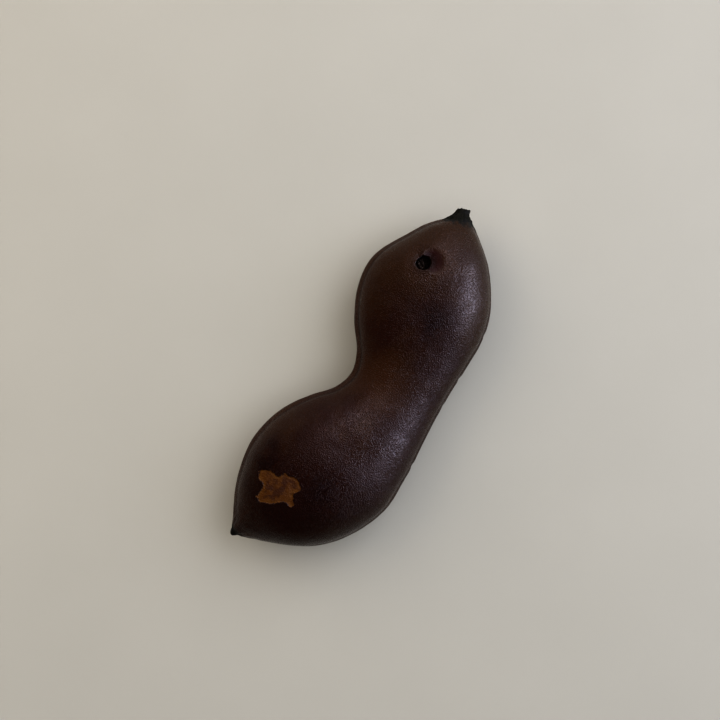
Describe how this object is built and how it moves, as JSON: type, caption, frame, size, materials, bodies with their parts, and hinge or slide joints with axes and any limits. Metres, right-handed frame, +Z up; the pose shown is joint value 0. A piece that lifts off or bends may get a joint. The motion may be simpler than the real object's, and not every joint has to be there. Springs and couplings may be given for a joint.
{
  "type": "jatoba pod",
  "caption": "Dry woody seed pod, pinched between its lobes, with a short dark stalk stub, a pointed beak, a small insect hole and a flaked patch, lying on its flatter side.",
  "frame": {"origin": "middle of the bounding box, on the surface that the pod lies on", "axes": "+X from the beak to the stalk, +Y towards the hollow edge that pinches in at the waist, +Z up out of the surface"},
  "size_m": [0.1124, 0.0438, 0.0262],
  "materials": {
    "pod_skin": "satin",
    "stalk_wood": "matte"
  },
  "bodies": {
    "root": {"pod": "pod_skin", "stalk_stub": "stalk_wood"}
  },
  "joints": []
}
